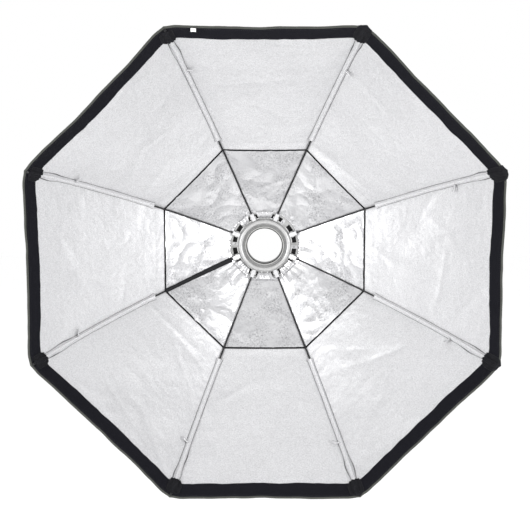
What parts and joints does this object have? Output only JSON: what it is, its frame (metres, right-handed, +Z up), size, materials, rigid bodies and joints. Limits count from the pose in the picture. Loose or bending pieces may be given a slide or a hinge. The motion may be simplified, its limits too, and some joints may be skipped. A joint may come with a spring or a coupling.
{
  "type": "studio softbox",
  "caption": "Octagonal studio softbox with a silver-lined canopy, sprung rods hinged on a speedring, and a bayonet insert for a lamp head.",
  "frame": {"origin": "centre of the insert's bore, in the mount plane where the lamp head's face ends", "axes": "+Y along the bore, leaving the softbox through its back towards the lamp head; -Y out of the open mouth; +Z up; the eight rods stand at 22.5 degrees and every 45 degrees from it in the XZ plane"},
  "size_m": [1.1184, 0.4866, 1.1184],
  "materials": {
    "insert_metal": "satin",
    "ring_metal": "satin powder",
    "clip_metal": "matte",
    "socket_metal": "matte",
    "steel": "plain",
    "knob_black": "black coated",
    "rod_black": "satin black",
    "black_fabric": "woven nylon",
    "canopy_fabric": "silver coated inside, black woven outside",
    "silver_foil": "pebbled silver foil",
    "silver_channel": "silver woven, sewn",
    "loop_tape": "looped pile",
    "webbing": "ribbed webbing",
    "tag_white": "plain woven"
  },
  "bodies": {
    "mount": {"mount_insert": "insert_metal", "retaining_ring": "insert_metal"},
    "ring": {"speedring": "ring_metal", "hinge_pins": "steel", "rear_collar": "black_fabric", "canopy_clips": "clip_metal", "clip_screws": "steel"},
    "lock_screw": {"lock_screw": "steel"},
    "lock_knob": {"lock_knob": "knob_black"},
    "rib_1": {"socket_1": "socket_metal", "rod_1": "rod_black", "rod_sleeve_1": "silver_channel", "canopy_1": "canopy_fabric", "back_lining_1": "silver_foil", "mouth_strip_1": "loop_tape"},
    "rib_2": {"socket_2": "socket_metal", "rod_2": "rod_black", "rod_sleeve_2": "silver_channel", "canopy_2": "canopy_fabric", "back_lining_2": "silver_foil", "mouth_strip_2": "loop_tape"},
    "rib_3": {"socket_3": "socket_metal", "rod_3": "rod_black", "rod_sleeve_3": "silver_channel", "canopy_3": "canopy_fabric", "back_lining_3": "silver_foil", "mouth_strip_3": "loop_tape", "blank_tag": "tag_white"},
    "rib_4": {"socket_4": "socket_metal", "rod_4": "rod_black", "rod_sleeve_4": "silver_channel", "canopy_4": "canopy_fabric", "back_lining_4": "silver_foil", "mouth_strip_4": "loop_tape"},
    "rib_5": {"socket_5": "socket_metal", "rod_5": "rod_black", "rod_sleeve_5": "silver_channel", "canopy_5": "canopy_fabric", "back_lining_5": "silver_foil", "mouth_strip_5": "loop_tape", "rod_wrap": "webbing"},
    "rib_6": {"socket_6": "socket_metal", "rod_6": "rod_black", "rod_sleeve_6": "silver_channel", "canopy_6": "canopy_fabric", "back_lining_6": "silver_foil", "mouth_strip_6": "loop_tape"},
    "rib_7": {"socket_7": "socket_metal", "rod_7": "rod_black", "rod_sleeve_7": "silver_channel", "canopy_7": "canopy_fabric", "back_lining_7": "silver_foil", "mouth_strip_7": "loop_tape"},
    "rib_8": {"socket_8": "socket_metal", "rod_8": "rod_black", "rod_sleeve_8": "silver_channel", "canopy_8": "canopy_fabric", "back_lining_8": "silver_foil", "mouth_strip_8": "loop_tape"}
  },
  "joints": [
    {"name": "ring_turn", "type": "hinge", "parent": "mount", "child": "ring", "pos_m": [0, 0, 0], "axis": [0, 1, 0], "continuous": true},
    {"name": "lock_travel", "type": "slide", "parent": "ring", "child": "lock_screw", "axis": [0, 0, -1], "range_m": [0, 0.0016]},
    {"name": "lock_turn", "type": "hinge", "parent": "lock_screw", "child": "lock_knob", "pos_m": [0, 0.0028, -0.09], "axis": [0, 0, -1], "range_deg": [0, 720]},
    {"name": "fold_1", "type": "hinge", "parent": "ring", "child": "rib_1", "pos_m": [0.07576, -0.0149, 0.03138], "axis": [0.3827, 0, -0.9239], "range_deg": [0, 45], "deforming": ["canopy_1", "back_lining_1", "mouth_strip_1"]},
    {"name": "fold_2", "type": "hinge", "parent": "ring", "child": "rib_2", "pos_m": [0.03138, -0.0149, 0.07576], "axis": [0.9239, 0, -0.3827], "range_deg": [0, 45], "deforming": ["canopy_2", "back_lining_2", "mouth_strip_2"]},
    {"name": "fold_3", "type": "hinge", "parent": "ring", "child": "rib_3", "pos_m": [-0.03138, -0.0149, 0.07576], "axis": [0.9239, 0, 0.3827], "range_deg": [0, 45], "deforming": ["canopy_3", "back_lining_3", "mouth_strip_3", "blank_tag"]},
    {"name": "fold_4", "type": "hinge", "parent": "ring", "child": "rib_4", "pos_m": [-0.07576, -0.0149, 0.03138], "axis": [0.3827, 0, 0.9239], "range_deg": [0, 45], "deforming": ["canopy_4", "back_lining_4", "mouth_strip_4"]},
    {"name": "fold_5", "type": "hinge", "parent": "ring", "child": "rib_5", "pos_m": [-0.07576, -0.0149, -0.03138], "axis": [-0.3827, 0, 0.9239], "range_deg": [0, 45], "deforming": ["canopy_5", "back_lining_5", "mouth_strip_5"]},
    {"name": "fold_6", "type": "hinge", "parent": "ring", "child": "rib_6", "pos_m": [-0.03138, -0.0149, -0.07576], "axis": [-0.9239, 0, 0.3827], "range_deg": [0, 45], "deforming": ["canopy_6", "back_lining_6", "mouth_strip_6"]},
    {"name": "fold_7", "type": "hinge", "parent": "ring", "child": "rib_7", "pos_m": [0.03138, -0.0149, -0.07576], "axis": [-0.9239, 0, -0.3827], "range_deg": [0, 45], "deforming": ["canopy_7", "back_lining_7", "mouth_strip_7"]},
    {"name": "fold_8", "type": "hinge", "parent": "ring", "child": "rib_8", "pos_m": [0.07576, -0.0149, -0.03138], "axis": [-0.3827, 0, -0.9239], "range_deg": [0, 45], "deforming": ["canopy_8", "back_lining_8", "mouth_strip_8"]}
  ],
  "couplings": [
    {"joint": "lock_travel", "follows": "lock_turn", "m_per_rad": 0.00012732},
    {"joint": "fold_2", "follows": "fold_1", "ratio": 1},
    {"joint": "fold_3", "follows": "fold_1", "ratio": 1},
    {"joint": "fold_4", "follows": "fold_1", "ratio": 1},
    {"joint": "fold_5", "follows": "fold_1", "ratio": 1},
    {"joint": "fold_6", "follows": "fold_1", "ratio": 1},
    {"joint": "fold_7", "follows": "fold_1", "ratio": 1},
    {"joint": "fold_8", "follows": "fold_1", "ratio": 1}
  ]
}
